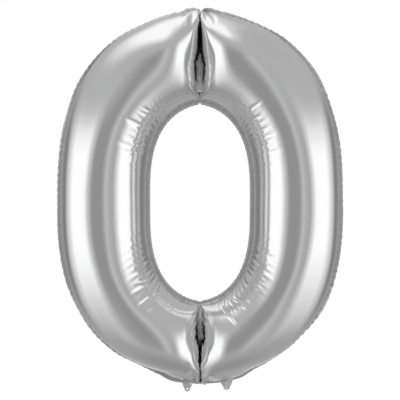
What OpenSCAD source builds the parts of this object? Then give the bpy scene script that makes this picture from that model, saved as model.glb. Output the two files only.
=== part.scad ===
// Foil number balloon, digit zero: two film panels heat-sealed round the outer edge and
// round the hole, pinched together at the top and bottom centre, and filled with gas.
// The ring stands upright in the XZ plane and faces -Y. The origin is the centre of the
// ribbon hole in the hang tab, below the ring.

/* [Inflated ring] */
// Width over the outer seam
ring_w = 654; // [400:1:900]
// Height over the outer seam
ring_h = 860; // [600:1:1200]
// Roundness of the outline, where 2 is an ellipse
outline_power = 2.15; // [2:0.05:2.6]
// Width of the hole between its seams
hole_w = 224; // [150:1:280]
// Height of the hole between its seams
hole_h = 454; // [300:1:520]
// How far the hole's centre lies below the ring's centre
hole_drop = 19; // [0:1:30]
// Sharpness of the hole's pointed ends
hole_power = 4.3; // [3:0.1:6]
// Depth of the tube as a share of its width
depth_ratio = 1.0; // [0.8:0.05:1.1]

/* [Film and seams] */
// Thickness of each film, thickened from the real 0.04
film_t = 0.4; // [0.3:0.05:0.8]
// Thickness of the melted layer in a heat seal
weld_t = 0.4; // [0.3:0.05:0.8]
// Width of the flat seam round both edges
seam_w = 7; // [5:0.5:10]

/* [Centre creases] */
// Length of the top crease's weld
top_crease_len = 118; // [80:1:130]
// Distance from the top of the ring to the top crease
top_crease_inset = 37; // [30:1:50]
// Length of the bottom crease's weld
bottom_crease_len = 96; // [70:1:110]
// Distance from the bottom of the ring to the bottom crease
bottom_crease_inset = 43; // [30:1:60]
// Width of each crease's weld
crease_w = 4; // [3:0.5:6]
// Distance over which the tube swells from a crease to its full depth
crease_swell = 75; // [50:1:100]

/* [Hang tab] */
// Distance of the tab from the ring's centre line, towards -X
tab_offset = 29; // [20:1:40]
// Width of the tab at its root
tab_root_w = 25; // [20:1:30]
// Width of the tab at its rounded end
tab_tip_w = 13; // [10:1:16]
// Length of the tab below its fold
tab_len = 17; // [14:1:25]
// Radius of the ribbon hole
ribbon_hole_r = 2; // [1.5:0.25:2.5]

/* [Inflation neck] */
// Distance of the neck from the ring's centre line, towards +X
neck_offset = 61; // [55:1:75]
// Width of the neck at its root
neck_root_w = 31; // [26:1:36]
// Width of the neck at its mouth
neck_mouth_w = 16; // [14:1:22]
// Length of the neck below its fold
neck_len = 16; // [14:1:30]
// Width of each side weld of the neck
neck_weld_w = 3; // [2:0.5:4]
// Radius of the straw port in the neck's front film
port_r = 2.5; // [2:0.25:3.5]

/* [Valve] */
// Width of the two valve films
valve_w = 30; // [24:1:36]
// Length of the valve inside the ring
valve_len = 115; // [90:1:150]
// Thickness of each valve film
valve_t = 0.2; // [0.15:0.05:0.3]
// Gap between the closed valve films
valve_gap = 0.3; // [0.25:0.05:0.4]

/* [Hidden] */
$fn = 48;
foil = "gainsboro";
weld_colour = "darkgray";
valve_colour = "white";

// Half thickness of a seal, and of the two plies with their seal.
seal_half = weld_t / 2;
ply_half = seal_half + film_t;

// Stations round the ring: close together at the two creases, where the shape is sharp.
quarter_steps = 20;
station_crowding = 1.8;
function from_crease(k) = 90 * pow(k / quarter_steps, station_crowding);
STATIONS = [
    for (k = [0 : quarter_steps - 1]) 90 + from_crease(k),
    for (k = [quarter_steps : -1 : 1]) 270 - from_crease(k),
    for (k = [0 : quarter_steps - 1]) 270 + from_crease(k),
    for (k = [quarter_steps : -1 : 1]) 450 - from_crease(k)
];
station_count = len(STATIONS);
// Steps across the tube, from the hole side to the outer side.
across_steps = 12;

// The outer edge of the ring at angle t, brought in by an inset.
function signed_power(v, p) = sign(v) * pow(abs(v), p);
function outer_edge(t, inset = 0) = [
    (ring_w / 2 - inset) * signed_power(cos(t), 2 / outline_power),
    (ring_h / 2 - inset) * signed_power(sin(t), 2 / outline_power)
];

// The hole's edge at angle t. Its height runs quickly past the straight sides and slowly
// into the points; near a point the section lines fan out from it.
point_ease = 0.75;
function quarter_share(t) = abs(asin(sin(t))) / 90;
function hole_climb(s) = s * (1 + point_ease * (1 - s));
function hole_edge(t, inset = 0) = let (
    up = hole_climb(quarter_share(t)),
    half_w = hole_w / 2 + inset,
    half_h = hole_h / 2 + inset
) [
    sign(cos(t)) * half_w * (1 - pow(up, hole_power)),
    sign(sin(t)) * half_h * up - hole_drop
];

// Heights of the ends of the two crease welds.
top_crease_high = ring_h / 2 - top_crease_inset;
top_crease_low = top_crease_high - top_crease_len;
bottom_crease_low = -ring_h / 2 + bottom_crease_inset;
bottom_crease_high = bottom_crease_low + bottom_crease_len;

// Half depth of a gas channel between heights low and high, zero outside it.
function channel(z, low, high) = let (half = (high - low) / 2, off = z - (low + high) / 2)
    abs(off) < half ? sqrt(half * half - off * off) / 2 : 0;

// Half depth of the tube on the centre line, where gas passes only round a weld's ends.
function crease_depth(z) = z > 0
    ? channel(z, hole_h / 2 - hole_drop + seam_w, top_crease_low)
        + channel(z, top_crease_high, ring_h / 2 - seam_w)
    : channel(z, bottom_crease_high, -hole_h / 2 - hole_drop - seam_w)
        + channel(z, -ring_h / 2 + seam_w, bottom_crease_low);

// Share of the full depth reached at a distance x from the centre line.
swell_power = 2.2;
function swell(x) = let (s = min(1, max(0, (abs(x) - crease_w) / crease_swell)))
    pow(1 - pow(1 - s, swell_power), 1 / swell_power);

// One point of the tube's film: station angle t, angle a across the tube, and how far the
// point lies inside the outer face. Near a crease the offset is straight back only.
function film_point(t, a, offset) = let (
    outside = outer_edge(t, seam_w),
    inside = hole_edge(t, seam_w),
    reach = (outside - inside) / 2 * cos(a),
    half_w = norm(outside - inside) / 2,
    spot = (outside + inside) / 2 - reach,
    full = half_w * depth_ratio * sin(a),
    share = swell(spot[0]),
    depth = share * full + (1 - share) * min(full, crease_depth(spot[1])),
    place = spot + reach * share * offset / half_w
) [place[0], seal_half + film_t - offset + depth, place[1]];

function on_seam(edge, y) = [edge[0], y, edge[1]];

// The closed outline of the film at one station: out across the outer face, back inside.
function film_section(t) = concat(
    [on_seam(hole_edge(t), ply_half)],
    [for (i = [0 : across_steps]) film_point(t, 180 * i / across_steps, 0)],
    [on_seam(outer_edge(t), ply_half), on_seam(outer_edge(t), seal_half)],
    [for (i = [across_steps : -1 : 0]) film_point(t, 180 * i / across_steps, film_t)],
    [on_seam(hole_edge(t), seal_half)]
);

// The ring of film. Its outer and inner faces are cut along the same diagonals, so that
// the two stay the film's thickness apart where the surface twists.
module film_ring() {
    count = 2 * across_steps + 6;
    points = [for (t = STATIONS) each film_section(t)];
    faces = [
        for (s = [0 : station_count - 1], i = [0 : count - 1]) let (
            here = s * count,
            there = ((s + 1) % station_count) * count,
            next = (i + 1) % count
        ) each i < count / 2
            ? [[here + i, here + next, there + next], [here + i, there + next, there + i]]
            : [[here + i, here + next, there + i], [here + next, there + next, there + i]]
    ];
    polyhedron(points, faces, convexity = 10);
}

// The tabs hang just below the lowest point of the outer seam over their width.
function seam_height(x) = -ring_h / 2
    * pow(1 - pow(x / (ring_w / 2), outline_power), 1 / outline_power);
root_gap = 1.3;
tab_root_z = seam_height(tab_offset - tab_root_w / 2) - root_gap;
tab_hole_z = tab_root_z - tab_len + tab_tip_w / 2;
neck_root_z = seam_height(neck_offset - neck_root_w / 2) - root_gap;

// Everything below is drawn about the ring's centre and moved to the ribbon hole.
module placed() {
    translate([tab_offset, 0, -tab_hole_z]) children();
}

// A flat layer in the XZ plane, from depth y onwards along +Y.
module layer(y, thickness) {
    translate([0, y + thickness, 0])
        rotate([90, 0, 0])
            linear_extrude(height = thickness) children();
}

module outer_outline(inset) {
    polygon([for (t = STATIONS) outer_edge(t, inset)]);
}

module hole_outline(inset) {
    polygon([for (t = STATIONS) hole_edge(t, inset)]);
}

// A tab's outline: straight sides that narrow to a rounded end.
arc_step = 15;
module tab_outline(root_w, tip_w, length) {
    polygon(concat(
        [[root_w / 2, 0], [-root_w / 2, 0]],
        [for (a = [180 : arc_step : 360])
            [tip_w / 2 * cos(a), tip_w / 2 * (1 + sin(a)) - length]]
    ));
}

// A bar with rounded ends.
module crease_bar(low, high) {
    round_r = crease_w / 2;
    polygon(concat(
        [for (a = [0 : arc_step : 180])
            [round_r * cos(a), high - round_r * (1 - sin(a))]],
        [for (a = [180 : arc_step : 360])
            [round_r * cos(a), low + round_r * (1 + sin(a))]]
    ));
}

module front_foil_panel() {
    color(foil) placed() mirror([0, 1, 0]) film_ring();
}

module back_foil_panel() {
    color(foil) placed() film_ring();
}

// The seal is left open where the valve films pass between the panels into the neck.
seal_gap_w = valve_w + 1;
seal_gap_h = 8 * seam_w;
module outer_seam_weld() {
    color(weld_colour) placed() layer(-seal_half, weld_t) difference() {
        outer_outline(0);
        outer_outline(seam_w);
        translate([neck_offset, -ring_h / 2]) square([seal_gap_w, seal_gap_h], center = true);
    }
}

module inner_seam_weld() {
    color(weld_colour) placed() layer(-seal_half, weld_t) difference() {
        hole_outline(seam_w);
        hole_outline(0);
    }
}

module top_crease_weld() {
    color(weld_colour) placed() layer(-seal_half, weld_t)
        crease_bar(top_crease_low, top_crease_high);
}

module bottom_crease_weld() {
    color(weld_colour) placed() layer(-seal_half, weld_t)
        crease_bar(bottom_crease_low, bottom_crease_high);
}

// The valve films start at the seam. The back one lies in the seal's gap; the front one
// begins above the seam, where it can part from the back one.
valve_lift = 8;
valve_start = seam_height(neck_offset + valve_w / 2);
valve_fold = valve_start + seam_w + valve_lift;

module valve_back_film() {
    color(valve_colour) placed() layer(0, valve_t)
        translate([neck_offset - valve_w / 2, valve_start])
            square([valve_w, valve_fold - valve_start + valve_len]);
}

// Two narrow seals run up the sides of the back film and set the channel's width.
edge_weld_w = 1;
edge_weld_inset = 3;
module valve_edge_welds() {
    color(weld_colour) placed() layer(-valve_gap / 3, valve_gap / 3)
        for (side = [-1, 1])
            translate([neck_offset + side * (valve_w / 2 - edge_weld_inset), valve_fold])
                translate([-edge_weld_w / 2, edge_weld_w])
                    square([edge_weld_w, valve_len - 2 * edge_weld_w]);
}

module valve_front_film() {
    color(valve_colour) placed() layer(-valve_gap - valve_t, valve_t)
        translate([neck_offset - valve_w / 2, valve_fold])
            square([valve_w, valve_len]);
}

module hang_tab_layer(y, thickness) {
    layer(y, thickness) difference() {
        translate([-tab_offset, tab_root_z]) tab_outline(tab_root_w, tab_tip_w, tab_len);
        translate([-tab_offset, tab_hole_z]) circle(r = ribbon_hole_r);
    }
}

module hang_tab_front_ply() {
    color(foil) placed() hang_tab_layer(-ply_half, film_t);
}

module hang_tab_weld() {
    color(weld_colour) placed() hang_tab_layer(-seal_half, weld_t);
}

module hang_tab_back_ply() {
    color(foil) placed() hang_tab_layer(seal_half, film_t);
}

module neck_outline() {
    translate([neck_offset, neck_root_z]) tab_outline(neck_root_w, neck_mouth_w, neck_len);
}

port_z = neck_root_z - neck_len + neck_mouth_w / 2;

module neck_front_ply() {
    color(foil) placed() layer(-ply_half, film_t) difference() {
        neck_outline();
        translate([neck_offset, port_z]) circle(r = port_r);
    }
}

// The neck is sealed down both sides and stays open in the middle for the straw.
neck_channel_w = neck_mouth_w - 2 * neck_weld_w;
module neck_edge_welds() {
    color(weld_colour) placed() layer(-seal_half, weld_t) difference() {
        neck_outline();
        translate([neck_offset, neck_root_z])
            square([neck_channel_w, 3 * neck_len], center = true);
    }
}

module neck_back_ply() {
    color(foil) placed() layer(seal_half, film_t) neck_outline();
}

front_foil_panel();
back_foil_panel();
outer_seam_weld();
inner_seam_weld();
top_crease_weld();
bottom_crease_weld();
valve_back_film();
valve_edge_welds();
valve_front_film();
hang_tab_front_ply();
hang_tab_weld();
hang_tab_back_ply();
neck_front_ply();
neck_edge_welds();
neck_back_ply();
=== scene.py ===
# %% [markdown]
# # A silver foil balloon in the shape of the digit zero
# A foil balloon starts as two flat sheets of metallised film. They are heat-sealed to
# each other round the outside and round the hole, pinched together at the top and at the
# bottom of the ring, and then filled with gas. The film can't stretch, so it has to fold:
# every wrinkle and pucker on the finished balloon comes from that. This scene cuts the
# same flat pattern, fills it with gas in a small simulation, and finishes what comes out.

import math

import bpy
import numpy as np
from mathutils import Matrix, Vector
from mathutils.geometry import delaunay_2d_cdt


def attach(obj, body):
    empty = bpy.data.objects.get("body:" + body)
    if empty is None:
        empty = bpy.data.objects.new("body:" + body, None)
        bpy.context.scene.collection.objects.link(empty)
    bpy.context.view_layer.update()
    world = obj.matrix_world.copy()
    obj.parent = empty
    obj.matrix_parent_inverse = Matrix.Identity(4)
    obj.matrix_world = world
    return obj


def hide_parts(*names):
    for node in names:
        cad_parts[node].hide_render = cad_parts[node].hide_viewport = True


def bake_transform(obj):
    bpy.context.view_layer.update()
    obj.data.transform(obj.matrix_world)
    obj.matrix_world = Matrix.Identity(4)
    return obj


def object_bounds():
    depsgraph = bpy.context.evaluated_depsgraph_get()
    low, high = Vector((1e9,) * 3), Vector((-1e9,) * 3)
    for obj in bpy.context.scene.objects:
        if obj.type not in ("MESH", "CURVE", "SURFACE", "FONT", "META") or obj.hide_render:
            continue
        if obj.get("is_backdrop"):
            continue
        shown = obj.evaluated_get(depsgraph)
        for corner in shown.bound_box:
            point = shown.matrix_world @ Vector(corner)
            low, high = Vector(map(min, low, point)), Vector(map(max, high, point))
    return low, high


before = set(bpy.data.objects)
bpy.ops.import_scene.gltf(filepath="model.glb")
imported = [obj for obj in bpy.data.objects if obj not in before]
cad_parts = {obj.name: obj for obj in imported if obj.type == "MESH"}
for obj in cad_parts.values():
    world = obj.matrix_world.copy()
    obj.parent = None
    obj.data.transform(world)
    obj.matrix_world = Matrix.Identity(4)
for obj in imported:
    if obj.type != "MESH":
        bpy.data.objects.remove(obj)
cad_low, cad_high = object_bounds()
print("CAD box from", [round(c, 4) for c in cad_low], "to", [round(c, 4) for c in cad_high])


# %% Two helpers: an object put in the scene, and links between nodes
def add_object(name, data):
    made = bpy.data.objects.new(name, data)
    bpy.context.scene.collection.objects.link(made)
    return made


def wire_up(tree, *wires):
    for start, leaving, end, entering in wires:
        tree.links.new(start.outputs[leaving], end.inputs[entering])


# %% [markdown]
# ## The camera
# A long lens from four metres away shows the ring almost without perspective. It looks
# very slightly down, so that the outer seam shows along the top of the ring and hides
# behind the tube below.

# %% Camera
view_target = Vector((0.029, 0.0, 0.4335))
view_distance = 4.0
view_width = 0.9126
view_rise = math.radians(3.0)
camera_data = bpy.data.cameras.new("studio_camera")
camera_data.sensor_width = 36.0
camera_data.lens = camera_data.sensor_width * view_distance / view_width
camera = add_object("studio_camera", camera_data)
view_back = Vector((0.0, -math.cos(view_rise), math.sin(view_rise)))
camera.location = view_target + view_back * view_distance
camera.rotation_euler = (-view_back).to_track_quat("-Z", "Y").to_euler()
bpy.context.scene.camera = camera
bpy.context.scene.view_settings.view_transform = "Standard"
print("camera lens", round(camera_data.lens, 1), "mm")

# %% [markdown]
# ## The flat pattern
# Everything here is in millimetres, about the centre of the ring. The outside is cut as
# a superellipse, a shape between an oval and a rectangle, with a small notch at the top
# and the bottom. The slot for the hole is far narrower than the hole will be, because the
# film beside it rolls back as the tube fills. Each sheet becomes a grid of columns that
# run from the slot to the outside edge, so the grid has no seam in an awkward place.

# %% Sizes of the cut
RING_CENTRE = (29.0, 0.0, 441.4745)
RING_SIZE = (654.0, 860.0)
RING_DEPTH = 214.0
CUT_WIDTH = 804.0
CUT_HEIGHT = 956.0
CUT_POWER = 2.5
NOTCH = 9.0
NOTCH_WIDTH = 60.0
SLOT_WIDTH = 166.0
SLOT_HEIGHT = 494.0
SLOT_POWER = 3.3
SLOT_DROP = 18.0
SEAM = 7.0
SEAL_THICKNESS = 0.3
CREASE_WIDTH = 4.0
TOP_CREASE = (54.0, 152.0)
BOTTOM_CREASE = (60.0, 134.0)
MIDDLE_GAP = 0.15
FINEST_COLUMNS = 640


# %% Points evenly along a line
def along(x, z, share):
    step = np.hypot(np.diff(x), np.diff(z))
    run = np.concatenate([[0.0], np.cumsum(step)])
    return np.interp(share * run[-1], run, x), np.interp(share * run[-1], run, z)


# %% One quarter of each edge, from the top centre to the side
def quarter_edges(columns):
    turn = np.arange(columns // 4 + 1) / (columns // 4)
    t = np.linspace(0.0, math.pi / 2, 4000)
    half_w = CUT_WIDTH / 2 - SEAM
    half_h = CUT_HEIGHT / 2 - SEAM
    x = half_w * np.sin(t) ** (2 / CUT_POWER)
    z = half_h * np.cos(t) ** (2 / CUT_POWER)
    z = z - NOTCH * np.exp(-((x / (NOTCH_WIDTH / 2)) ** 2)) * (z > 0)
    outer = along(x, z, turn)
    slot_w = SLOT_WIDTH / 2 + SEAM
    slot_h = SLOT_HEIGHT / 2 + SEAM
    z = np.linspace(slot_h, 0.0, 4000)
    x = slot_w * (1 - (z / slot_h) ** SLOT_POWER)
    e = 1 - turn
    inner = along(x, z, 1 - (0.25 * e + 0.75 * (1 - (1 - e) ** 2.6)))
    return outer, inner


# %% All four quarters, going round from the top to the right
def four_quarters(x, z):
    whole_x = np.concatenate([x, x[::-1][1:], -x[1:], -x[::-1][1:]])
    whole_z = np.concatenate([z, -z[::-1][1:], -z[1:], z[::-1][1:]])
    return whole_x, whole_z


def outward(x, z):
    tx = np.roll(x[:-1], -1) - np.roll(x[:-1], 1)
    tz = np.roll(z[:-1], -1) - np.roll(z[:-1], 1)
    run = np.hypot(tx, tz)
    nx = np.append(-tz / run, -tz[0] / run[0])
    nz = np.append(tx / run, tx[0] / run[0])
    side = np.sign(nx * x + nz * z + 1e-9)
    return nx * side, nz * side


# %% The whole sheet as a grid: flange at the slot, tube, flange at the outside
def flat_sheet(columns, cells, flange):
    outer, inner = quarter_edges(columns)
    ox, oz = four_quarters(*outer)
    ix, iz = four_quarters(*inner)
    onx, onz = outward(ox, oz)
    inx, inz = outward(ix, iz)
    iz = iz - SLOT_DROP
    v = np.arange(cells + 1) / cells
    tube_x = ix[:, None] * (1 - v) + ox[:, None] * v
    tube_z = iz[:, None] * (1 - v) + oz[:, None] * v
    k = np.arange(1, flange + 1) / flange * SEAM
    slot_x = ix[:, None] - inx[:, None] * k[::-1]
    slot_z = iz[:, None] - inz[:, None] * k[::-1]
    slot_x = np.where(ix[:, None] > 0, np.maximum(slot_x, 0), np.minimum(slot_x, 0))
    slot_x = np.where(ix[:, None] == 0, 0.0, slot_x)
    edge_x = ox[:, None] + onx[:, None] * k
    edge_z = oz[:, None] + onz[:, None] * k
    x = np.concatenate([slot_x, tube_x, edge_x], 1)
    z = np.concatenate([slot_z, tube_z, edge_z], 1)
    return x.astype(np.float32), z.astype(np.float32)


# %% Flat size of one sheet
check_x, check_z = flat_sheet(128, 20, 1)
print("flat sheet", round(np.ptp(check_x)), "by", round(np.ptp(check_z)), "mm")

# %% [markdown]
# ## Filling it with gas
# Film this stiff needs a fine grid and very many steps, so plain array arithmetic does it
# in place of Cloth. The distances between neighbouring points are put back to their flat
# lengths again and again, while the gas pushes each small face outward. On the coarse
# grids the links only resist being pulled. On the finest one they also resist being
# squeezed, which is what makes true wrinkles. Welded points of the two sheets move as
# one: the seams round both edges, and the two crease welds.


# %% Lengths and welds of one sheet
def apart(first, second):
    return np.hypot(*(first - second))


class Film:
    def __init__(self, columns, cells, flange):
        self.columns = columns
        self.cells = cells
        self.flange = flange
        x, z = flat_sheet(columns, cells, flange)
        self.flat_x = x
        self.flat_z = z
        self.rows = x.shape[1]
        flat = np.stack([x, z])
        self.round_len = apart(flat[:, 1:], flat[:, :-1])
        self.cross_len = apart(flat[:, :, 1:], flat[:, :, :-1])
        self.down_len = apart(flat[:, 1:, 1:], flat[:, :-1, :-1])
        self.up_len = apart(flat[:, 1:, :-1], flat[:, :-1, 1:])
        longer = np.concatenate([flat, flat[:, 1:2]], 1)
        self.round_two = apart(longer[:, 2:], longer[:, :-2])
        self.cross_two = apart(flat[:, :, 2:], flat[:, :, :-2])
        self.crease = crease_points(x, z)
        row = np.arange(self.rows)
        seam = (row <= flange) | (row >= flange + cells)
        self.tube = slice(flange, flange + cells + 1)
        self.weld = self.crease | seam[None, :]


# %% Which points the crease welds hold together
def crease_points(x, z):
    columns = x.shape[0] - 1
    near = np.abs(x) <= CREASE_WIDTH / 2
    near[[0, columns // 2, columns]] = True
    top = CUT_HEIGHT / 2 - NOTCH - TOP_CREASE[0]
    bottom = -CUT_HEIGHT / 2 + NOTCH + BOTTOM_CREASE[0]
    in_top = (z <= top) & (z >= top - TOP_CREASE[1])
    in_bottom = (z >= bottom) & (z <= bottom + BOTTOM_CREASE[1])
    return near & (in_top | in_bottom)


# %% Links that put one distance right
def pull(a, b, length, slack):
    gap = b - a
    size = np.sqrt((gap * gap).sum(0)) + 1e-9
    error = size - length
    if slack:
        np.maximum(error, 0, out=error)
    move = gap * (0.5 * error / size)
    a += move
    b -= move


def close_ring(p):
    p[:, :, -1] = p[:, :, 0]


# %% One pass over every link of both sheets
def pass_over_links(film, p, slack):
    n = film.columns
    r = film.rows
    pull(p[:, :, 0:n:2], p[:, :, 1 : n + 1 : 2], film.round_len[0::2], slack)
    close_ring(p)
    pull(p[:, :, 1:n:2], p[:, :, 2 : n + 1 : 2], film.round_len[1::2], slack)
    p[:, :, 0] = p[:, :, n]
    pull(p[..., 0 : r - 1 : 2], p[..., 1:r:2], film.cross_len[:, 0::2], slack)
    pull(p[..., 1 : r - 1 : 2], p[..., 2:r:2], film.cross_len[:, 1::2], slack)
    for first in (0, 1):
        a = p[:, :, first:n:2]
        b = p[:, :, first + 1 : n + 1 : 2]
        moved, copied = ((0, n), (n, 0))[first]
        pull(a[..., :-1], b[..., 1:], film.down_len[first::2], slack)
        p[:, :, copied] = p[:, :, moved]
        pull(a[..., 1:], b[..., :-1], film.up_len[first::2], slack)
        p[:, :, copied] = p[:, :, moved]


# %% Stiffness against a sharp fold
def straighten(gap, length, stiffness):
    size = np.sqrt((gap * gap).sum(0)) + 1e-9
    return gap * (stiffness * (size - length) / size)


def unfold(film, p, stiffness):
    ring = p[:, :, : film.columns]
    move = straighten(np.roll(ring, -2, axis=2) - ring, film.round_two, stiffness)
    ring += move
    ring -= np.roll(move, 2, axis=2)
    close_ring(p)
    move = straighten(p[..., 2:] - p[..., :-2], film.cross_two, stiffness)
    p[..., :-2] += move
    p[..., 2:] -= move


# %% Welded points share one place, and the two halves can't pass through each other
def hold_welds(film, p):
    both = (p[:, 0][:, film.weld] + p[:, 1][:, film.weld]) * 0.5
    p[:, 0][:, film.weld] = both
    p[:, 1][:, film.weld] = both
    half = film.columns // 2
    right = p[0, :, 1:half]
    left = p[0, :, half + 1 : -1]
    np.maximum(right, MIDDLE_GAP, out=right)
    np.minimum(left, -MIDDLE_GAP, out=left)
    close_ring(p)


# %% The push of the gas on each point
def gas_push(film, p):
    ring = p[:, :, : film.columns]
    u = np.roll(ring, -1, 2) - np.roll(ring, 1, 2)
    v = np.zeros_like(ring)
    v[..., 1:-1] = ring[..., 2:] - ring[..., :-2]
    n = np.cross(u, v, axis=0) * 0.25
    n[:, 1] *= -1
    return n * (-1 if n[1, 0].mean() > 0 else 1)


# %% Steps of the filling
def fill(film, p, steps, pressure, keep, passes, stiffness=0.0, slack=False):
    old = p.copy()
    scale = pressure / (film.round_len.mean() * film.cross_len.mean())
    for _ in range(steps):
        speed = (p - old) * keep
        push = gas_push(film, p) * scale
        old = p.copy()
        p += speed
        p[:, :, : film.columns] += push
        close_ring(p)
        for _ in range(passes):
            pass_over_links(film, p, slack)
            if stiffness:
                unfold(film, p, stiffness)
            hold_welds(film, p)
    size = [round(float(np.ptp(p[axis]))) for axis in range(3)]
    print(film.columns, "columns after", steps, "steps, size", size, "mm")


# %% The same sheet on a finer grid
def row_places(film):
    before = -np.arange(film.flange, 0, -1) / film.flange
    tube = np.arange(film.cells + 1) / film.cells * 10
    after = 10 + np.arange(1, film.flange + 1) / film.flange
    return np.concatenate([before, tube, after])


def finer(coarse, p, fine):
    at = np.linspace(0, coarse.columns, fine.columns + 1)
    i = np.minimum(at.astype(int), coarse.columns - 1)
    f = (at - i).astype(np.float32)[:, None]
    p = p[:, :, i] * (1 - f) + p[:, :, i + 1] * f
    here = row_places(coarse)
    there = row_places(fine)
    j = np.clip(np.searchsorted(here, there, side="right") - 1, 0, len(here) - 2)
    g = ((there - here[j]) / (here[j + 1] - here[j])).astype(np.float32)
    return p[..., j] * (1 - g) + p[..., j + 1] * g


# %% Laying the two sheets on each other
def lay_flat(film, seed):
    chance = np.random.default_rng(seed)
    p = np.zeros((3, 2, film.columns + 1, film.rows), np.float32)
    p[0] = film.flat_x
    p[2] = film.flat_z
    rise = np.zeros(film.rows)
    rise[film.tube] = np.sin(np.pi * np.linspace(0, 1, film.cells + 1))
    p[1, 0] = -8 * rise
    p[1, 1] = 8 * rise
    p[1] += chance.normal(0, 0.3, (film.columns + 1, film.rows)).astype(np.float32)
    close_ring(p)
    return p


# %% Fill the balloon: coarse, finer, finest
def inflate():
    coarse = Film(128, 20, 1)
    p = lay_flat(coarse, 3)
    fill(coarse, p, 500, 0.3, 0.97, 3, slack=True)
    fill(coarse, p, 400, 0.1, 0.9, 4, slack=True)
    middle = Film(256, 40, 1)
    p = finer(coarse, p, middle)
    fill(middle, p, 120, 0.04, 0.9, 4, slack=True)
    finest = Film(FINEST_COLUMNS, 72, 2)
    p = finer(middle, p, finest)
    chance = np.random.default_rng(5)
    p[1] += chance.normal(0, 0.35, p[1, 0].shape).astype(np.float32)
    close_ring(p)
    fill(finest, p, 40, 0.012, 0.9, 4, stiffness=0.05)
    fill(finest, p, 60, 0.008, 0.93, 5, stiffness=0.03)
    return finest, p


film, filled = inflate()

# %% [markdown]
# ## Calming the film and placing it
# On a well filled balloon most of the tube is pulled smooth, and only the corners beside
# the hole keep their folds. So the ring is smoothed along its length, fully at the front
# and the outside, less beside the hole, and not at all at the two creases, where the
# sharp pinch has to stay. Then it is put where the CAD ring is and given its size.


# %% Smoothing along the ring
def smooth_round(p, width):
    turns = np.fft.rfftfreq(film.columns)
    damp = np.exp(-2 * (np.pi * width * turns) ** 2)[None, None, :, None]
    soft = np.fft.irfft(np.fft.rfft(p[:, :, :-1], axis=2) * damp, film.columns, axis=2)
    return np.concatenate([soft, soft[:, :, :1]], 2)


def ease(t):
    t = np.clip(t, 0, 1)
    return t * t * (3 - 2 * t)


# %% How much of the smooth shape each point takes
PINCH_START = 0.018
PINCH_FADE = 0.030
SMOOTHING = 9.0
outer_row = film.flange + film.cells
column = np.arange(film.columns + 1)
half_way = film.columns // 2
to_crease = np.abs((column + half_way / 2) % half_way - half_way / 2) / film.columns
across_share = np.clip((np.arange(film.rows) - film.flange) / film.cells, 0, 1)
keep_pinch = ease((to_crease - PINCH_START) / PINCH_FADE)
keep_folds = 0.2 + 0.8 * ease((across_share - 0.16) / 0.26)
calm = keep_pinch[:, None] * keep_folds[None, :]
wide = film.columns / FINEST_COLUMNS
ring_p = filled * (1 - calm) + smooth_round(filled, SMOOTHING * wide) * calm
print("the smooth shape's share is", round(float(calm.mean()), 2), "on average")

# %% The CAD ring's place and size
shown_low = ring_p.min((1, 2, 3))
shown_high = ring_p.max((1, 2, 3))
target = np.array([RING_SIZE[0], RING_DEPTH, RING_SIZE[1]])
grow = target / (shown_high - shown_low)
middle_point = (shown_low + shown_high) / 2
spread_out = (slice(None), None, None, None)
ring_p = (ring_p - middle_point[spread_out]) * grow[spread_out]
ring_p += np.array(RING_CENTRE)[spread_out]
print("scaled by", [round(float(g), 3) for g in grow], "to fit the CAD ring")

# %% [markdown]
# ## Sharper pinches
# On a balloon that is blown up hard, the tube keeps nearly its full depth right up to the
# crease and then dives into it. The simulated gas is a little soft there, so the columns
# beside each crease are deepened by up to two fifths.

# %% Depth near the creases
WALL_START = 5
WALL_FULL = 21
WALL_FADE = 42
EXTRA_DEPTH = 0.40
from_crease = to_crease * FINEST_COLUMNS
start_of_wall = ease((from_crease - WALL_START) / (WALL_FULL - WALL_START))
end_of_wall = np.exp(-((np.maximum(from_crease - WALL_FULL, 0) / WALL_FADE) ** 2))
deepen = 1 + EXTRA_DEPTH * start_of_wall * end_of_wall
ring_p[1] *= deepen[:, None]
print("deepened beside the creases by up to", round(float(deepen.max()), 2), "times")

# %% [markdown]
# ## The puckered edge
# A straight seal shrinks into small scallops where the tube pulls it round a bend. They
# are about 16 mm long on this size, uneven along the sides and almost gone beside the
# tabs, where the seal is short and flat. A few sine waves of different lengths, each one
# fixed, give an edge that never repeats.


# %% Waves along the outer edge
def waves(place, lengths, seed):
    chance = np.random.default_rng(seed)
    total = np.zeros_like(place)
    for length in lengths:
        start = chance.uniform(0, 2 * math.pi)
        total += np.sin(2 * math.pi * place / length + start)
    return total / len(lengths)


# %% Distance along the outer edge and round the hole
def run_along(row):
    line = ring_p[:, 0, :, row]
    step = np.sqrt((np.diff(line, axis=1) ** 2).sum(0))
    return np.concatenate([[0.0], np.cumsum(step)])


outer_run = run_along(outer_row)
inner_run = run_along(film.flange)
print("outer seam", round(outer_run[-1]), "mm round, hole seam", round(inner_run[-1]), "mm round")

# %% Scallops pushed into the seam and the film next to it
edge_x = ring_p[0, 0, :, -1]
edge_z = ring_p[2, 0, :, -1]
near_tabs = (edge_z < 100) * ease(1 - (np.abs(edge_x - 45) - 75) / 40)
pucker = ease(to_crease / 0.01) * (1 - 0.9 * near_tabs)
pucker *= 0.65 + 0.35 * waves(outer_run, (410, 260, 150), 11)
out_x, out_z = outward(edge_x - RING_CENTRE[0], edge_z - RING_CENTRE[2])
to_edge = np.clip(1 - (1 - across_share) * 12, 0, 1) ** 2
SCALLOP_DEPTH = 2.6
RIPPLE_DEPTH = 0.7
ROLL_DEPTH = 3.2
scallop = -np.abs(waves(outer_run, (34, 31), 4)) * SCALLOP_DEPTH
scallop += waves(outer_run, (17, 13), 6) * RIPPLE_DEPTH
push_out = (scallop * pucker)[:, None] * to_edge
ring_p[0] += out_x[:, None] * push_out
ring_p[2] += out_z[:, None] * push_out
roll = waves(outer_run, (27, 19, 15, 12), 8) * pucker * ROLL_DEPTH
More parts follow.
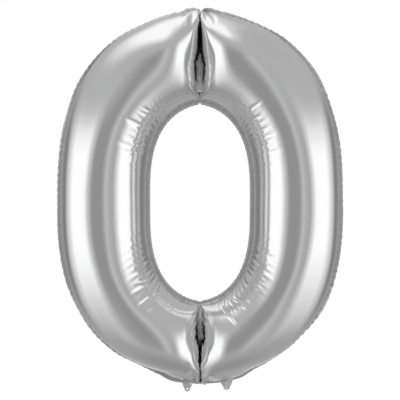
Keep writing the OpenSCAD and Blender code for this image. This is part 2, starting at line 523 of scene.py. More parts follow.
on_flange = ease((np.arange(film.rows) - outer_row) / film.flange)
ring_p[1] += roll[:, None] * (0.25 * to_edge + 0.9 * on_flange)

# %% A crumpled fringe round the hole
FRINGE_ROLL = 2.2
FRINGE_PULL = 0.8
inner_roll = waves(inner_run, (31, 17, 11, 8), 9) * ease(to_crease / 0.02) * FRINGE_ROLL
on_fringe = ease((film.flange - np.arange(film.rows)) / film.flange)
ring_p[1] += inner_roll[:, None] * on_fringe
hole_x = ring_p[0, 0, :, 0] - RING_CENTRE[0]
hole_z = ring_p[2, 0, :, 0] - RING_CENTRE[2] + 19
in_x, in_z = outward(hole_x, hole_z)
fringe_pull = waves(inner_run, (13, 9, 7), 12) * FRINGE_PULL
ring_p[0] += in_x[:, None] * fringe_pull[:, None] * on_fringe
ring_p[2] += in_z[:, None] * fringe_pull[:, None] * on_fringe

# %% [markdown]
# ## Fine creases at the hole's corners
# Where the tube turns a corner beside the hole, its film is too long for the bend and
# falls into thin creases that point away from the hole. The finest are narrower than the
# grid could form by itself, so they are pressed in as grooves about a millimetre deep,
# each with its own place, length and slant.

# %% Which way the film faces
def facing(p):
    u = np.roll(p[..., :-1, :], -1, 2) - np.roll(p[..., :-1, :], 1, 2)
    v = np.gradient(p[..., :-1, :], axis=3)
    n = np.cross(u, v, axis=0)
    n /= np.sqrt((n * n).sum(0)) + 1e-9
    n[:, 0] *= -np.sign(n[1, 0].mean())
    n[:, 1] *= np.sign(n[1, 1].mean())
    return np.concatenate([n, n[:, :, :1]], 2)


# %% Grooves at the four corners
CORNERS = ((0.172, 0.030), (0.360, 0.048), (0.640, 0.048), (0.834, 0.035))
GROOVES_A_CORNER = 9
GROOVE_WIDTH = 0.9
chance = np.random.default_rng(21)
groove = np.zeros((2, film.columns + 1, film.rows))
each_groove = [(c, ply) for c in CORNERS for ply in (0, 1) for _ in range(GROOVES_A_CORNER)]
for (corner_at, spread), ply in each_groove:
    start = (corner_at + chance.uniform(-spread, spread)) * film.columns
    slant = chance.uniform(-14, 14) * wide
    low = chance.uniform(0.10, 0.18)
    high = low + chance.uniform(0.14, 0.30)
    deep = chance.uniform(0.7, 1.7)
    line = start + slant * (across_share - low)
    narrow = np.exp(-(((column[:, None] - line[None, :]) / (GROOVE_WIDTH * wide)) ** 2))
    window = ease((across_share - low) / 0.03) * ease((high - across_share) / 0.08)
    groove[ply] += deep * narrow * window[None, :]
ring_p -= facing(ring_p) * groove[None]
print("grooves up to", round(float(groove.max()), 2), "mm deep")

# %% The edge beside the tabs lies flat, at the CAD's height
OVAL_POWER = 2.15
side = np.clip(np.abs(edge_x - RING_CENTRE[0]) / (RING_SIZE[0] / 2), 0, 1)
cad_edge = RING_CENTRE[2] - RING_SIZE[1] / 2 * (1 - side**OVAL_POWER) ** (1 / OVAL_POWER)
lower = near_tabs * (cad_edge - ring_p[2, 0, :, -1])
tube_share = 1 - np.clip((1 - across_share) * 5, 0, 1)
ring_p[2] += lower[:, None] * ease(tube_share)
flat_y = 1 - near_tabs[:, None] * np.maximum(on_flange, ease((to_edge - 0.5) * 2)) * 0.8
ring_p[1] *= flat_y
print("points of the edge laid flat:", int((near_tabs > 0.9).sum()))

# %% The finished ring in metres, without the doubled last column
ring_m = (ring_p[:, :, :-1] / 1000).astype(float)
flat_uv = np.stack([film.flat_x[:-1], film.flat_z[:-1]], -1) / 1000

# %% [markdown]
# ## From arrays to meshes
# Every piece of the ring is a band of the same grid, so one helper builds them all. A
# film panel is a single smooth sheet, closed by the other panel and the seams. A seal is
# two layers of film, melted into one strip: it gets a front, a back and closed edges.


# %% An object from points and faces
def make_piece(name, points, faces, uv):
    mesh = bpy.data.meshes.new(name)
    mesh.from_pydata(np.asarray(points).tolist(), [], [list(map(int, f)) for f in faces])
    mesh.validate()
    layer = mesh.uv_layers.new(name="flat_cut")
    corner = np.zeros(len(mesh.loops), np.int32)
    mesh.loops.foreach_get("vertex_index", corner)
    layer.data.foreach_set("uv", np.asarray(uv, np.float32)[corner].ravel())
    mesh.shade_smooth()
    mesh.update()
    return add_object(name, mesh)


# %% Faces of a band that goes all the way round
def band_faces(columns, rows, flip):
    i = np.arange(columns)[:, None]
    j = np.arange(rows - 1)[None, :]
    a = i * rows + j
    b = (i + 1) % columns * rows + j
    order = [a, b, b + 1, a + 1] if flip else [a, a + 1, b + 1, b]
    return np.stack(order, -1).reshape(-1, 4)


# %% One film panel
def make_panel(name, ply):
    points = ring_m[:, ply, :, film.tube].transpose(1, 2, 0)
    faces = band_faces(points.shape[0], points.shape[1], flip=ply == 0)
    return make_piece(name, points.reshape(-1, 3), faces, flat_uv[:, film.tube].reshape(-1, 2))


front_foil = make_panel("front_foil", 0)
back_foil = make_panel("back_foil", 1)
print("each panel has", len(front_foil.data.polygons), "faces")

# %% Which way a panel faces
area_y = sum(f.normal.y * f.area for f in front_foil.data.polygons)
print("the front panel faces", "the viewer" if area_y < 0 else "away")


# %% A finer flange, because its small ruffles need more points than the tube
def finer_band(band, times):
    count = band.shape[1]
    at = np.linspace(0, count - 1, (count - 1) * times + 1)
    i = np.minimum(at.astype(int), count - 2)
    f = (at - i)[None, :, None]
    return band[:, i] * (1 - f) + band[:, i + 1] * f


# %% One seal: a closed strip 0.3 mm thick
HALF_SEAL = SEAL_THICKNESS / 2 / 1000


def make_seal(name, rows, run):
    band = ring_m[:, 0, :, rows].transpose(1, 2, 0)
    band = finer_band(band, 2)
    columns, count = band.shape[:2]
    u = np.roll(band, -1, 0) - np.roll(band, 1, 0)
    v = np.gradient(band, axis=1)
    normal = np.cross(u, v)
    normal /= np.linalg.norm(normal, axis=2, keepdims=True) + 1e-12
    normal *= np.sign(-normal[..., 1].mean())
    front = band + normal * HALF_SEAL
    back = band - normal * HALF_SEAL
    loop = np.concatenate([front, back[:, ::-1]], 1)
    ring_count = loop.shape[1]
    faces = band_faces(columns, ring_count + 1, flip=False)
    faces = faces // (ring_count + 1) * ring_count + faces % (ring_count + 1) % ring_count
    step = np.sqrt((v**2).sum(2))
    over = np.cumsum(step, 1) - step
    uv_front = np.stack([np.repeat(run[:-1, None] / 1000, count, 1), over], -1)
    uv = np.concatenate([uv_front, uv_front[:, ::-1]], 1)
    return make_piece(name, loop.reshape(-1, 3), faces, uv.reshape(-1, 2))


outer_seam = make_seal("outer_seam", slice(outer_row, film.rows), outer_run)
inner_seam = make_seal("inner_seam", slice(0, film.flange + 1), inner_run)
print("seams have", len(outer_seam.data.polygons), "and", len(inner_seam.data.polygons), "faces")


# %% Turning a closed piece the right way out
def volume(piece):
    mesh = piece.data
    mesh.calc_loop_triangles()
    place = np.array([v.co for v in mesh.vertices])
    tri = np.array([t.vertices for t in mesh.loop_triangles])
    a, b, c = place[tri[:, 0]], place[tri[:, 1]], place[tri[:, 2]]
    return float((np.cross(a, b) * c).sum() / 6)


def turn_out(piece):
    if volume(piece) < 0:
        piece.data.flip_normals()
    print(piece.name, "encloses", round(volume(piece) * 1e9, 1), "cubic mm")


turn_out(outer_seam)
turn_out(inner_seam)

# %% [markdown]
# ## The crease welds
# At the top and the bottom the two panels are also welded to each other along the centre
# line, which makes the deep pinch. Each weld is a flat strip that follows a line. That is
# a job for Geometry Nodes: the line becomes a curve, and a flat profile runs along it.


# %% The tree that lays a flat strip along a line
def strip_tree(name):
    tree = bpy.data.node_groups.new(name, "GeometryNodeTree")
    face = tree.interface
    face.new_socket("Line", in_out="INPUT", socket_type="NodeSocketGeometry")
    for label, size in (("Width", 0.0), ("Thickness", 0.0), ("Spacing", 0.002)):
        socket = face.new_socket(label, in_out="INPUT", socket_type="NodeSocketFloat")
        socket.default_value = size
    face.new_socket("Finish", in_out="INPUT", socket_type="NodeSocketMaterial")
    face.new_socket("Strip", in_out="OUTPUT", socket_type="NodeSocketGeometry")
    add = tree.nodes.new
    source = add("NodeGroupInput")
    to_curve = add("GeometryNodeMeshToCurve")
    spaced = add("GeometryNodeResampleCurve")
    spaced.mode = "LENGTH"
    facing = add("GeometryNodeSetCurveNormal")
    facing.mode = "FREE"
    facing.inputs["Normal"].default_value = (1.0, 0.0, 0.0)
    profile = add("GeometryNodeCurvePrimitiveQuadrilateral")
    sweep = add("GeometryNodeCurveToMesh")
    sweep.inputs["Fill Caps"].default_value = True
    real = add("GeometryNodeRealizeInstances")
    finish = add("GeometryNodeSetMaterial")
    result = add("NodeGroupOutput")
    wire_up(
        tree,
        (source, "Line", to_curve, "Mesh"),
        (to_curve, "Curve", spaced, "Curve"),
        (source, "Spacing", spaced, "Length"),
        (spaced, "Curve", facing, "Curve"),
        (source, "Width", profile, "Width"),
        (source, "Thickness", profile, "Height"),
        (facing, "Curve", sweep, "Curve"),
        (profile, "Curve", sweep, "Profile Curve"),
        (sweep, "Mesh", real, "Geometry"),
        (real, "Geometry", finish, "Geometry"),
        (source, "Finish", finish, "Material"),
        (finish, "Geometry", result, "Strip"),
    )
    return tree


# %% Running the tree on one line and keeping the plain mesh
def lay_strip(name, line, tree, finish):
    mesh = bpy.data.meshes.new(name + "_line")
    mesh.from_pydata(line.tolist(), [(k, k + 1) for k in range(len(line) - 1)], [])
    holder = add_object(name + "_line", mesh)
    modifier = holder.modifiers.new("strip", "NODES")
    modifier.node_group = tree
    sockets = {s.name: s.identifier for s in tree.interface.items_tree if s.in_out == "INPUT"}
    modifier[sockets["Width"]] = CREASE_WIDTH / 1000
    modifier[sockets["Thickness"]] = SEAL_THICKNESS / 1000
    modifier[sockets["Finish"]] = finish
    depsgraph = bpy.context.evaluated_depsgraph_get()
    made = bpy.data.meshes.new_from_object(holder.evaluated_get(depsgraph))
    bpy.data.objects.remove(holder)
    made.name = name
    return add_object(name, made)


# %% The line of each weld, at the CAD's heights
def weld_line(index, low, high):
    line = ring_m[:, :, index].mean(1).T
    line = line[(line[:, 2] >= low) & (line[:, 2] <= high)]
    return line[np.argsort(line[:, 2])]


top_line = weld_line(0, 0.7165, 0.8345)
bottom_line = weld_line(half_way, 0.0545, 0.1505)
for line in (top_line, bottom_line):
    print("crease weld", round(float(np.ptp(line[:, 2])) * 1000), "mm long")

# %% [markdown]
# ## The finishes
# Metallised film is a mirror that is never quite flat: broad, very low waves and a fine
# satin grain blur what it reflects. The heat seal has the weave of the sealing wheel
# pressed into it. Each effect is a small node group that gives one value, so that several
# finishes can share it.


# %% A node group with one number coming out
def value_group(name, output):
    tree = bpy.data.node_groups.new(name, "ShaderNodeTree")
    tree.interface.new_socket(output, in_out="OUTPUT", socket_type="NodeSocketFloat")
    result = tree.nodes.new("NodeGroupOutput")
    return tree, result


def noise(tree, scale, detail):
    place = tree.nodes.new("ShaderNodeTexCoord")
    node = tree.nodes.new("ShaderNodeTexNoise")
    node.inputs["Scale"].default_value = scale
    node.inputs["Detail"].default_value = detail
    tree.links.new(place.outputs["Object"], node.inputs["Vector"])
    return node.outputs["Fac"]


def arithmetic(tree, operation, first, second):
    node = tree.nodes.new("ShaderNodeMath")
    node.operation = operation
    for socket, value in zip(node.inputs, (first, second)):
        if hasattr(value, "is_linked"):
            tree.links.new(value, socket)
        else:
            socket.default_value = value
    return node.outputs[0]


# %% A mix of two colours by a driver
def mix_colours(tree, driver, first, second):
    node = tree.nodes.new("ShaderNodeMix")
    node.data_type = "RGBA"
    for label, source in (("Factor", driver), ("A", first), ("B", second)):
        tree.links.new(source, node.inputs[label])
    return node.outputs["Result"]


# %% The low waves and fine handling marks of film
relief_group, relief_end = value_group("film_relief", "Height")
relief = 0.0
for scale, detail, share in ((9.0, 1.0, 0.70), (45.0, 2.0, 0.07), (900.0, 2.0, 0.0015)):
    layer_of_waves = noise(relief_group, scale, detail)
    layer_of_waves = arithmetic(relief_group, "MULTIPLY", layer_of_waves, share)
    relief = arithmetic(relief_group, "ADD", layer_of_waves, relief)
relief_group.links.new(relief, relief_end.inputs["Height"])

# %% How satin the film is from place to place
satin_group, satin_end = value_group("film_satin", "Roughness")
satin_noise = noise(satin_group, 14.0, 3.0)
satin_share = arithmetic(satin_group, "MULTIPLY", satin_noise, 0.05)
satin_all = arithmetic(satin_group, "ADD", satin_share, 0.135)
satin_group.links.new(satin_all, satin_end.inputs["Roughness"])

# %% The weave that the sealing wheel leaves
weave_group, weave_end = value_group("seal_weave", "Height")
weave_cut = weave_group.nodes.new("ShaderNodeUVMap")
weave_cut.uv_map = "flat_cut"
weave_split = weave_group.nodes.new("ShaderNodeSeparateXYZ")
weave_group.links.new(weave_cut.outputs["UV"], weave_split.inputs["Vector"])
WEAVE_PITCH = 0.0016
slanted = []
for operation in ("ADD", "SUBTRACT"):
    place = arithmetic(weave_group, operation, weave_split.outputs["X"], weave_split.outputs["Y"])
    turns = arithmetic(weave_group, "MULTIPLY", place, 2 * math.pi / WEAVE_PITCH)
    slanted.append(arithmetic(weave_group, "SINE", turns, 0.0))
weave_all = arithmetic(weave_group, "MULTIPLY", *slanted)
weave_group.links.new(weave_all, weave_end.inputs["Height"])

# %% Where the metal coat is a shade thinner
tone_group = bpy.data.node_groups.new("metal_tone", "ShaderNodeTree")
for label, way in (("Thin", "INPUT"), ("Full", "INPUT"), ("Tone", "OUTPUT")):
    tone_group.interface.new_socket(label, in_out=way, socket_type="NodeSocketColor")
tone_in = tone_group.nodes.new("NodeGroupInput")
tone_end = tone_group.nodes.new("NodeGroupOutput")
tone_noise = noise(tone_group, 5.0, 4.0)
tone_mix = mix_colours(tone_group, tone_noise, tone_in.outputs["Thin"], tone_in.outputs["Full"])
tone_group.links.new(tone_mix, tone_end.inputs["Tone"])
print("node groups:", sorted(g.name for g in bpy.data.node_groups))


# %% A finish built from those groups
def make_finish(name, tones, metallic, height_group, bump_size, rough_group=None):
    finish = bpy.data.materials.new(name)
    finish.use_nodes = True
    tree = finish.node_tree
    shader = tree.nodes["Principled BSDF"]
    shader.inputs["Metallic"].default_value = metallic
    tone = tree.nodes.new("ShaderNodeGroup")
    tone.node_tree = tone_group
    for label, (grey, blue) in zip(("Thin", "Full"), tones):
        tone.inputs[label].default_value = (grey, grey, blue, 1.0)
    height = tree.nodes.new("ShaderNodeGroup")
    height.node_tree = height_group
    bump = tree.nodes.new("ShaderNodeBump")
    bump.inputs["Distance"].default_value = bump_size[0]
    bump.inputs["Strength"].default_value = bump_size[1]
    wire_up(
        tree,
        (tone, "Tone", shader, "Base Color"),
        (height, "Height", bump, "Height"),
        (bump, "Normal", shader, "Normal"),
    )
    if rough_group:
        rough = tree.nodes.new("ShaderNodeGroup")
        rough.node_tree = rough_group
        wire_up(tree, (rough, "Roughness", shader, "Roughness"))
    return finish, shader


# %% The film, the seal and the valve's film
foil_tones = ((0.86, 0.865), (0.92, 0.925))
seal_tones = ((0.60, 0.61), (0.74, 0.75))
valve_tones = ((0.80, 0.82), (0.92, 0.94))
foil_look, _ = make_finish(
    "silver_foil_film", foil_tones, 1.0, relief_group, (0.002, 0.6), satin_group
)
seal_look, seal_shader = make_finish(
    "crimped_seal", seal_tones, 1.0, weave_group, (0.0002, 0.35)
)
seal_shader.inputs["Roughness"].default_value = 0.24
valve_look, valve_shader = make_finish(
    "milky_valve_film", valve_tones, 0.0, relief_group, (0.0008, 0.5)
)
valve_shader.inputs["Roughness"].default_value = 0.30
valve_shader.inputs["Coat Weight"].default_value = 0.3
for piece in (front_foil, back_foil):
    piece.data.materials.append(foil_look)
for piece in (outer_seam, inner_seam):
    piece.data.materials.append(seal_look)

# %% The two crease welds, laid with the strip tree
flat_strip = strip_tree("flat_strip_along_line")
top_crease_seal = lay_strip("top_crease_seal", top_line, flat_strip, seal_look)
bottom_crease_seal = lay_strip("bottom_crease_seal", bottom_line, flat_strip, seal_look)
for strip in (top_crease_seal, bottom_crease_seal):
    strip.data.uv_layers.new(name="flat_cut")
    loop_places = [strip.data.vertices[c.vertex_index].co for c in strip.data.loops]
    flat_places = np.array([(at.x, at.z) for at in loop_places], np.float32)
    strip.data.uv_layers["flat_cut"].data.foreach_set("uv", flat_places.ravel())
    turn_out(strip)
    size = [round(d * 1000, 1) for d in strip.dimensions]
    print(strip.name, size, "mm, in", strip.data.materials[0].name)

# %% [markdown]
# ## The hang tab and the inflation neck
# Both are tongues of the same two films, left beyond the seam at the bottom. The hang tab
# is sealed all over and has a punched hole for a ribbon. The neck is sealed only down its
# sides, so it is a flat channel, and the straw goes in through a hole in its front film.
# Each film is cut as a flat outline, filled with small triangles that leave the hole open,
# and then laid on a gently curled surface that starts on the seam and follows its ruffle.


# %% Outline of a tongue: straight sides that narrow to a round end
def tongue_outline(root_half, end_radius, end_z, root_z, step=1.0):
    lean = math.hypot(root_half - end_radius, root_z - end_z)
    count = max(2, round(lean / step))
    side = [k / count for k in range(count)]
    narrowing = root_half - end_radius
    left = [(-root_half + narrowing * t, root_z + (end_z - root_z) * t) for t in side]
    turn = max(6, round(math.pi * end_radius / step))
    angles = [math.pi + math.pi * k / turn for k in range(turn + 1)]
    round_end = [(end_radius * math.cos(a), end_z + end_radius * math.sin(a)) for a in angles]
    right = [(-x, z) for x, z in reversed(left)]
    top_count = max(2, round(2 * root_half / step))
    top = [(root_half - 2 * root_half * k / top_count, root_z) for k in range(1, top_count)]
    return left + round_end + right + top


# %% A round hole as a ring of points
def circle(radius, centre_z, count):
    angles = np.linspace(0, 2 * math.pi, count, False)
    return [(radius * math.cos(a), centre_z + radius * math.sin(a)) for a in angles]


# %% Is a flat point inside an outline
def inside(points, outline):
    found = np.zeros(len(points), bool)
    ring = np.array(outline)
    after = np.roll(ring, -1, axis=0)
    for (x1, z1), (x2, z2) in zip(ring, after):
        if z1 == z2:
            continue
        between = (points[:, 1] < z1) != (points[:, 1] < z2)
        cut = x1 + (points[:, 1] - z1) / (z2 - z1) * (x2 - x1)
        found ^= between & (points[:, 0] < cut)
    return found


# %% Flat triangles that fill an outline and leave its holes open
def fill_outline(outline, holes, step=0.9):
    low = np.min(outline, 0)
    high = np.max(outline, 0)
    grid_x = np.arange(low[0], high[0], step)
    grid_z = np.arange(low[1], high[1], step)
    lattice = np.array([(x + (k % 2) * step / 2, z) for k, z in enumerate(grid_z) for x in grid_x])

    def in_film(places):
        found = inside(places, outline)
        for hole in holes:
            found &= ~inside(places, hole)
        return found

    keep = in_film(lattice)
    for line in [outline, *holes]:
        gap = np.sqrt(((lattice[:, None] - np.array(line)[None]) ** 2).sum(2)).min(1)
        keep &= gap > step * 0.45
    points = []
    edges = []
    for line in [outline, *holes]:
        first = len(points)
        points += list(line)
        edges += [(first + k, first + (k + 1) % len(line)) for k in range(len(line))]
    points += [tuple(p) for p in lattice[keep]]
    made = delaunay_2d_cdt([Vector(p) for p in points], edges, [], 0, 1e-6)
    flat = np.array([tuple(v) for v in made[0]])
    tri = np.array([f for f in made[2] if len(f) == 3])
    tri = tri[in_film(flat[tri].mean(1))]
    a, b, c = flat[tri[:, 0]], flat[tri[:, 1]], flat[tri[:, 2]]
    turn = (b[:, 0] - a[:, 0]) * (c[:, 1] - a[:, 1]) - (b[:, 1] - a[:, 1]) * (c[:, 0] - a[:, 0])
    tri[turn < 0] = tri[turn < 0][:, ::-1]
    return flat, tri[np.abs(turn) > 1e-6]


# %% A thin closed film from flat triangles and two surfaces
def make_film(name, flat, tri, front_at, back_at):
    used = np.unique(tri)
    place = {int(v): k for k, v in enumerate(used)}
    tri = np.vectorize(place.get)(tri)
    flat = flat[used]
    count = len(flat)
    points = np.concatenate([front_at(flat), back_at(flat)])
    edges = [(int(t[k]), int(t[(k + 1) % 3])) for t in tri for k in range(3)]
    known = set(edges)
    rim = [(a, b) for a, b in edges if (b, a) not in known]
    faces = [tuple(t) for t in tri] + [tuple(t[::-1] + count) for t in tri]
    faces += [(b, a, a + count, b + count) for a, b in rim]
    uv = np.concatenate([flat, flat]) / 1000
    piece = make_piece(name, points / 1000, faces, uv)
    turn_out(piece)
    return piece


# %% The seam that the tongues hang from
def seam_line(x):
    low = near_tabs > 0.02
    order = np.argsort(edge_now[0, low])
    xs = edge_now[0, low][order]
    lines = (edge_now[2], edge_now[1], root_now[2], root_now[1])
    return [np.interp(x, xs, line[low][order]) for line in lines]


edge_now = ring_p[:, 0, :, -1]
root_now = ring_p[:, 0, :, outer_row]
edge_above = seam_line(np.array([0.0, 90.0]))[0]
print("seam edge above the tabs", [round(float(z), 2) for z in edge_above], "mm")


# %% Where a flat point of a tongue goes: from the seam's own ruffle down to a soft curl
LAP = 2.0
CURL_RUN = 6.0


def tongue_surface(centre_x, root_z, curl, offset):
    def place(flat):
        x = flat[:, 0] + centre_x
        edge, edge_y, root, root_y = seam_line(x)
        low_z = root_z - CURL_RUN
        top_z = edge + LAP
        up = np.clip((flat[:, 1] - low_z) / (root_z - low_z), 0, None)
        z = np.where(flat[:, 1] > low_z, low_z + up * (top_z - low_z), flat[:, 1])
        reach = np.clip((z - edge) / np.maximum(root - edge, 1e-6), 0, 1)
        seam_y = edge_y + (root_y - edge_y) * reach
        hang = ease((edge - z) / CURL_RUN)
        y = seam_y * (1 - hang) + curl(flat[:, 0], flat[:, 1]) * hang
        return np.stack([x, y + offset(flat[:, 0], flat[:, 1]), z], -1)

    return place


# %% Sizes of the hang tab and its curl
HANG_ROOT = 10.5
hang_outline = tongue_outline(12.5, 6.5, 0.0, HANG_ROOT)
ribbon_hole = circle(2.0, 0.0, 28)


def hang_curl(x, z):
    bow = 0.5 * np.sin(x / 12 + 0.5) * (1 - z / 14)
    crinkle = 0.22 * np.sin(0.9 * x + 0.6 * z) * np.sin(0.45 * z + 1.1)
    return (bow + crinkle) * ease((np.hypot(x, z) - 1.0) / 6)


hang_flat, hang_tri = fill_outline(hang_outline, [ribbon_hole])
hang_length = round(float(np.ptp(hang_flat[:, 1])), 1)
print("hang tab film:", len(hang_tri), "triangles,", hang_length, "mm long")


# %% A layer of a tongue between two depths
def layer(name, flat, tri, centre_x, root_z, curl, front, back, bulge=None):
    swell = bulge or (lambda x, z: 0.0 * x)
    side_out = np.sign(front + back)

    def surface(depth):
        def offset(x, z):
            return depth + side_out * swell(x, z)

        return tongue_surface(centre_x, root_z, curl, offset)

    return make_film(name, flat, tri, surface(front), surface(back))


FRONT = (-0.32, -0.11)
BETWEEN = (-0.10, 0.10)
BACK = (0.11, 0.32)
hang_shape = (hang_flat, hang_tri, 0.0, HANG_ROOT, hang_curl)
hang_tab_front = layer("hang_tab_front", *hang_shape, *FRONT)
hang_tab_seal = layer("hang_tab_seal", *hang_shape, *BETWEEN)
hang_tab_back = layer("hang_tab_back", *hang_shape, *BACK)

# %% Sizes of the neck, its channel and its curl
NECK_X = 90.0
NECK_ROOT = 13.07
PORT_Z = 5.07
neck_outline = tongue_outline(15.5, 8.0, PORT_Z, NECK_ROOT)
straw_port = circle(2.5, PORT_Z, 32)


def neck_curl(x, z):
    fold = 1.1 * np.exp(-(((x - 2.0 - 0.25 * (z - 5)) / 1.8) ** 2)) - 0.35
    bow = 0.9 * np.sin(x / 7.0 + 0.8)
    crinkle = 0.25 * np.sin(0.8 * x - 0.7 * z) + 0.15 * np.sin(1.7 * x + 0.5 * z)
    still = ease((np.hypot(x, z - PORT_Z) - 2.0) / 5)
    return (fold + bow * 0.5 + crinkle) * (0.35 + 0.65 * still)


CHANNEL_HALF = 8.5


def channel(x, z):
    return 0.55 * ease((1 - np.abs(x) / CHANNEL_HALF) * 2) * ease((z - 0.5) / 5)


# %% The neck's front film, side seals and back film
front_flat, front_tri = fill_outline(neck_outline, [straw_port])
back_flat, back_tri = fill_outline(neck_outline, [])
open_middle = back_flat[back_tri].mean(1)
side_tri = back_tri[(np.abs(open_middle[:, 0]) > CHANNEL_HALF) | (open_middle[:, 1] < 0.4)]
neck_place = (NECK_X, NECK_ROOT, neck_curl)
neck_front = layer("neck_front", front_flat, front_tri, *neck_place, *FRONT, channel)
neck_seal = layer("neck_seal", back_flat, side_tri, *neck_place, *BETWEEN)
neck_back = layer("neck_back", back_flat, back_tri, *neck_place, *BACK, channel)

# %% Finishes of the tongues
for piece in (hang_tab_front, hang_tab_back, neck_front, neck_back):
    piece.data.materials.append(foil_look)
for piece in (hang_tab_seal, neck_seal):
    piece.data.materials.append(seal_look)

# %% [markdown]
# ## The valve
# Two strips of milky film lie flat inside the tube above the neck. The gas presses them
# together, and that is all that keeps the balloon full. They have the right shape in CAD,
# so they stay as they are and only get their finish.

# %% Finish of the valve films
valve_nodes = ("valve_back_film", "valve_edge_welds", "valve_front_film")
for name in valve_nodes:
    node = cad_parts[name]
    node.data.materials.clear()
    node.data.materials.append(valve_look)
    print(name, "keeps its CAD shape, in", valve_look.name)

# %% [markdown]
# ## What moves with what
# The ring is one body. The tab and the neck bend at their roots on the real balloon; here
# their films keep the places they were built in, and the CAD nodes they stand for are
# hidden.

# %% Pieces of the ring
ring_pieces = {
    "front_foil_panel": front_foil,
    "back_foil_panel": back_foil,
    "outer_seam_weld": outer_seam,
    "inner_seam_weld": inner_seam,
    "top_crease_weld": top_crease_seal,
    "bottom_crease_weld": bottom_crease_seal,
}
for node, piece in ring_pieces.items():
    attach(piece, "envelope")
    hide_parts(node)
    print(piece.name, "stands for", node)

# %% Pieces of the tab and the neck
HANG_FOLD = ("hang_tab", 0.0, 11.0)
NECK_FOLD = ("inflation_neck", NECK_X, 13.57)
tongue_pieces = {
    "hang_tab_front_ply": (hang_tab_front, HANG_FOLD),
    "hang_tab_weld": (hang_tab_seal, HANG_FOLD),
    "hang_tab_back_ply": (hang_tab_back, HANG_FOLD),
    "neck_front_ply": (neck_front, NECK_FOLD),
    "neck_edge_welds": (neck_seal, NECK_FOLD),
    "neck_back_ply": (neck_back, NECK_FOLD),
}
for node, (piece, (body, fold_x, fold_z)) in tongue_pieces.items():
    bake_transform(piece)
    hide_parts(node)
    print(piece.name, "bends between envelope and", body)

# %% [markdown]
# ## The flat sheets
# Each foil panel began as a flat sheet, cut to the pattern's outline with a slot for the
# hole, before the gas stretched it into shape.

# %% [markdown]
# ## The studio
# Foil shows only what is round it, so the light is the other half of its look. The floor
# is a plain pale disc well below the balloon, clear from below. The light is a soft dome:
# white walls at both sides, darker grey corners behind them, and a grey front, where the
# viewer stands. Its edges are soft, so that its reflections melt into each other. The
# foil mirrors the dome and not the floor, so no hard horizon crosses the balloon.

# %% Floor
floor_mesh = bpy.data.meshes.new("studio_floor")
FLOOR_RADIUS = 1.6
FLOOR_Z = -0.35
floor_line = circle(FLOOR_RADIUS, 0.0, 128)
floor_rim = [(view_target.x + x, y, FLOOR_Z) for x, y in floor_line]
floor_mesh.from_pydata(floor_rim, [], [tuple(range(128))])
floor = add_object("studio_floor", floor_mesh)
floor_look = bpy.data.materials.new("pale_floor")
floor_look.use_nodes = True
floor_tree = floor_look.node_tree
floor_shader = floor_tree.nodes["Principled BSDF"]
floor_values = {
    "Base Color": (0.92, 0.92, 0.92, 1.0),
    "Roughness": 0.9,
    "Emission Color": (1.0, 1.0, 1.0, 1.0),
    "Emission Strength": 0.28,
}
for label, value in floor_values.items():
    floor_shader.inputs[label].default_value = value
see_through = floor_tree.nodes.new("ShaderNodeBsdfTransparent")
which_side = floor_tree.nodes.new("ShaderNodeNewGeometry")
by_side = floor_tree.nodes.new("ShaderNodeMixShader")
wire_up(
    floor_tree,
    (which_side, "Backfacing", by_side, "Fac"),
    (floor_shader, "BSDF", by_side, 1),
    (see_through, "BSDF", by_side, 2),
    (by_side, "Shader", floor_tree.nodes["Material Output"], "Surface"),
)
floor.data.materials.append(floor_look)
floor.visible_glossy = False
floor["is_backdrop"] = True

# %% The dome's direction: how far round from the viewer, and how high
dome = bpy.data.worlds.new("studio_dome")
bpy.context.scene.world = dome
dome.use_nodes = True
tree = dome.node_tree
tree.nodes.clear()
direction = tree.nodes.new("ShaderNodeTexCoord").outputs["Generated"]
split = tree.nodes.new("ShaderNodeSeparateXYZ")
tree.links.new(direction, split.inputs["Vector"])
toward = arithmetic(tree, "MULTIPLY", split.outputs["Y"], -1.0)
around = arithmetic(tree, "ARCTAN2", split.outputs["X"], toward)


def share_of(value, reach):
    scaled = arithmetic(tree, "MULTIPLY", value, 0.5 / reach)
    return arithmetic(tree, "ADD", scaled, 0.5)


around_share = share_of(around, math.pi)
height = share_of(split.outputs["Z"], 1.0)
sideways = share_of(split.outputs["X"], 1.0)


# %% A ramp from places and grey values
def ramp(tree, driver, stops):
    node = tree.nodes.new("ShaderNodeValToRGB")
    node.color_ramp.interpolation = "EASE"
    elements = node.color_ramp.elements
    while len(elements) < len(stops):
        elements.new(0.5)
    for element, (place, value) in zip(elements, stops):
        element.position = place
        element.color = (value, value, value, 1.0)
    tree.links.new(driver, node.inputs["Fac"])
    return node.outputs["Color"]


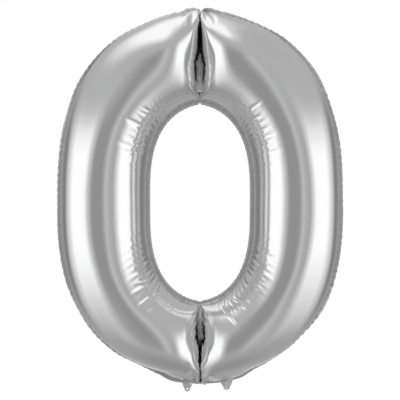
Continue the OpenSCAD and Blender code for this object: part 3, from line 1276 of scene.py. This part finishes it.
# %% Brightness round the dome, in degrees from the viewer toward +X
dome_stops = [
    (-180, 0.80), (-160, 0.32), (-128, 0.19), (-106, 0.68), (-92, 1.0), (-54, 1.0), (-38, 0.50),
    (-28, 0.275), (0, 0.275), (7, 0.36), (14, 0.52), (21, 0.42), (34, 0.36), (43, 0.62),
    (54, 1.0), (92, 1.0), (106, 0.68), (128, 0.19), (160, 0.32), (180, 0.80),
]
level = ramp(tree, around_share, [((a + 180) / 360, v) for a, v in dome_stops])


# %% From the ground up: grey below, white walls, a grey band, and a bright ceiling on the left
high_stops = [(0.0, 0.28), (0.10, 0.34), (0.25, 0.40), (0.40, 0.40), (0.80, 0.42), (1.0, 0.42)]
ground_up = ramp(tree, height, high_stops)
ceiling = ramp(tree, sideways, [(0.0, 0.95), (0.46, 0.95), (0.56, 0.62), (0.68, 0.42), (1.0, 0.40)])
reach = ramp(tree, height, [(0.0, 0.0), (0.76, 0.0), (0.95, 1.0), (1.0, 1.0)])
low_and_high = mix_colours(tree, reach, ground_up, ceiling)
takeover_stops = [(0.0, 1.0), (0.10, 1.0), (0.41, 0.0), (0.54, 0.0), (0.71, 1.0), (1.0, 1.0)]
takeover = ramp(tree, height, takeover_stops)
dome_level = mix_colours(tree, takeover, level, low_and_high)

# %% The viewer sees plain white behind the balloon
dome_light = tree.nodes.new("ShaderNodeBackground")
tree.links.new(dome_level, dome_light.inputs["Color"])
dome_light.inputs["Strength"].default_value = 1.12
plain_white = tree.nodes.new("ShaderNodeBackground")
plain_white.inputs["Color"].default_value = (1.0, 1.0, 1.0, 1.0)
who_looks = tree.nodes.new("ShaderNodeLightPath")
choose = tree.nodes.new("ShaderNodeMixShader")
dome_end = tree.nodes.new("ShaderNodeOutputWorld")
wire_up(
    tree,
    (who_looks, "Is Camera Ray", choose, "Fac"),
    (dome_light, "Background", choose, 1),
    (plain_white, "Background", choose, 2),
    (choose, "Shader", dome_end, "Surface"),
)
print("dome has", len(dome_stops), "steps round and", len(high_stops), "up")


# %% [markdown]
# ## The size
# The size is the CAD's, give or take a ruffle. Both boxes are printed.

# %% The two boxes
made_low, made_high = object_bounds()
sizes = {
    "cad": [[float(c) for c in cad_low], [float(c) for c in cad_high]],
    "visual": [[float(c) for c in made_low], [float(c) for c in made_high]],
}
for name, (low, high) in sizes.items():
    print(name, [round(c * 1000, 1) for c in low], [round(c * 1000, 1) for c in high])
